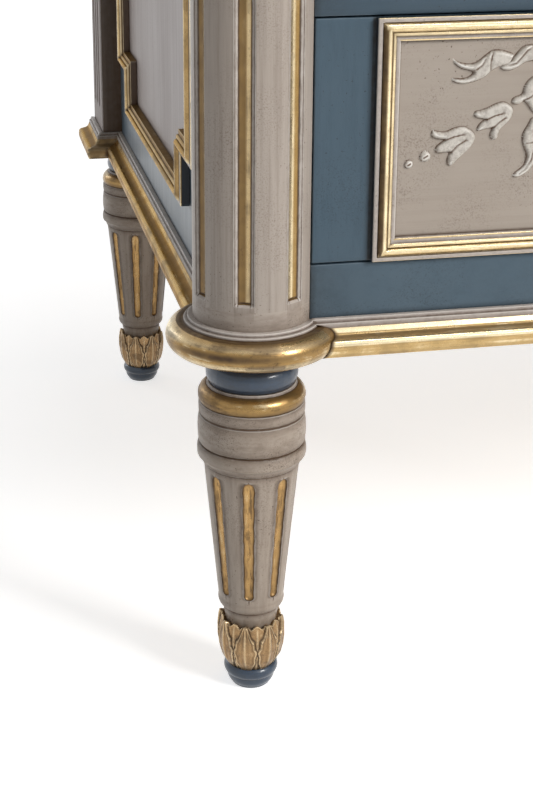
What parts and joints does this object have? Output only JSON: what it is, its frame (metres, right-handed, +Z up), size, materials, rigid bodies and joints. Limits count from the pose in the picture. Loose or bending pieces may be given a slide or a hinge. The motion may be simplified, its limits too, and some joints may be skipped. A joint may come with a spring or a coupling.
{
  "type": "commode chest",
  "caption": "Neoclassical commode chest with fluted round front columns, tapered fluted legs, gilt mouldings and dovetailed drawers with ring pulls.",
  "frame": {"origin": "on the floor, under the middle of the box that the closed chest fills", "axes": "+X to the right of someone who faces the drawers, +Y from the drawers towards the back, +Z up"},
  "size_m": [1.2198, 0.6019, 0.8258],
  "materials": {
    "taupe_paint": "grey-beige glazed paint, worn pale on its edges",
    "blue_paint": "dusty blue brushed paint with a satin wax",
    "gilding": "antique gold leaf over wood, rubbed and darkened in the hollows",
    "aged_brass": "aged, brushed",
    "plain_timber": "planed and unpainted",
    "plywood": "sanded and unpainted"
  },
  "bodies": {
    "carcass": {"back_leg_left": "taupe_paint", "back_leg_right": "taupe_paint", "back_panel": "plywood", "back_post_left": "taupe_paint", "back_post_right": "taupe_paint", "back_rail_bottom": "plain_timber", "back_rail_top": "plain_timber", "base_moulding_front": "gilding", "base_moulding_left": "gilding", "base_moulding_right": "gilding", "base_ring_left": "gilding", "base_ring_right": "gilding", "bottom_board": "plywood", "bottom_rail": "blue_paint", "column_left": "taupe_paint", "column_right": "taupe_paint", "drawer_runners_left": "plain_timber", "drawer_runners_right": "plain_timber", "front_leg_left": "taupe_paint", "front_leg_right": "taupe_paint", "lower_divider_rail": "blue_paint", "side_board_left": "blue_paint", "side_board_right": "blue_paint", "side_moulding_left": "gilding", "side_moulding_right": "gilding", "top_board": "taupe_paint", "top_rail": "blue_paint", "under_top": "gilding", "upper_divider_rail": "blue_paint"},
    "lower_drawer": {"lower_drawer_back": "plain_timber", "lower_drawer_bottom": "plywood", "lower_drawer_front": "blue_paint", "lower_drawer_moulding": "gilding", "lower_drawer_side_left": "plain_timber", "lower_drawer_side_right": "plain_timber", "lower_pull_rosette_left": "aged_brass", "lower_pull_rosette_right": "aged_brass"},
    "lower_ring_left": {"lower_pull_ring_left": "aged_brass"},
    "lower_ring_right": {"lower_pull_ring_right": "aged_brass"},
    "middle_drawer": {"middle_drawer_back": "plain_timber", "middle_drawer_bottom": "plywood", "middle_drawer_front": "blue_paint", "middle_drawer_moulding": "gilding", "middle_drawer_side_left": "plain_timber", "middle_drawer_side_right": "plain_timber", "middle_pull_rosette_left": "aged_brass", "middle_pull_rosette_right": "aged_brass"},
    "middle_ring_left": {"middle_pull_ring_left": "aged_brass"},
    "middle_ring_right": {"middle_pull_ring_right": "aged_brass"},
    "upper_drawer": {"upper_drawer_back": "plain_timber", "upper_drawer_bottom": "plywood", "upper_drawer_front": "blue_paint", "upper_drawer_moulding": "gilding", "upper_drawer_side_left": "plain_timber", "upper_drawer_side_right": "plain_timber", "upper_pull_rosette_left": "aged_brass", "upper_pull_rosette_right": "aged_brass"},
    "upper_ring_left": {"upper_pull_ring_left": "aged_brass"},
    "upper_ring_right": {"upper_pull_ring_right": "aged_brass"}
  },
  "joints": [
    {"name": "lower_drawer_slide", "type": "slide", "parent": "carcass", "child": "lower_drawer", "axis": [0, -1, 0], "range_m": [0, 0.33]},
    {"name": "lower_ring_left_swing", "type": "hinge", "parent": "lower_drawer", "child": "lower_ring_left", "pos_m": [-0.305, -0.2758, 0.34925], "axis": [-1, 0, 0], "range_deg": [0, 150]},
    {"name": "lower_ring_right_swing", "type": "hinge", "parent": "lower_drawer", "child": "lower_ring_right", "pos_m": [0.305, -0.2758, 0.34925], "axis": [-1, 0, 0], "range_deg": [0, 150]},
    {"name": "middle_drawer_slide", "type": "slide", "parent": "carcass", "child": "middle_drawer", "axis": [0, -1, 0], "range_m": [0, 0.33]},
    {"name": "middle_ring_left_swing", "type": "hinge", "parent": "middle_drawer", "child": "middle_ring_left", "pos_m": [-0.305, -0.2758, 0.51375], "axis": [-1, 0, 0], "range_deg": [0, 150]},
    {"name": "middle_ring_right_swing", "type": "hinge", "parent": "middle_drawer", "child": "middle_ring_right", "pos_m": [0.305, -0.2758, 0.51375], "axis": [-1, 0, 0], "range_deg": [0, 150]},
    {"name": "upper_drawer_slide", "type": "slide", "parent": "carcass", "child": "upper_drawer", "axis": [0, -1, 0], "range_m": [0, 0.33]},
    {"name": "upper_ring_left_swing", "type": "hinge", "parent": "upper_drawer", "child": "upper_ring_left", "pos_m": [-0.305, -0.2758, 0.67825], "axis": [-1, 0, 0], "range_deg": [0, 150]},
    {"name": "upper_ring_right_swing", "type": "hinge", "parent": "upper_drawer", "child": "upper_ring_right", "pos_m": [0.305, -0.2758, 0.67825], "axis": [-1, 0, 0], "range_deg": [0, 150]}
  ]
}
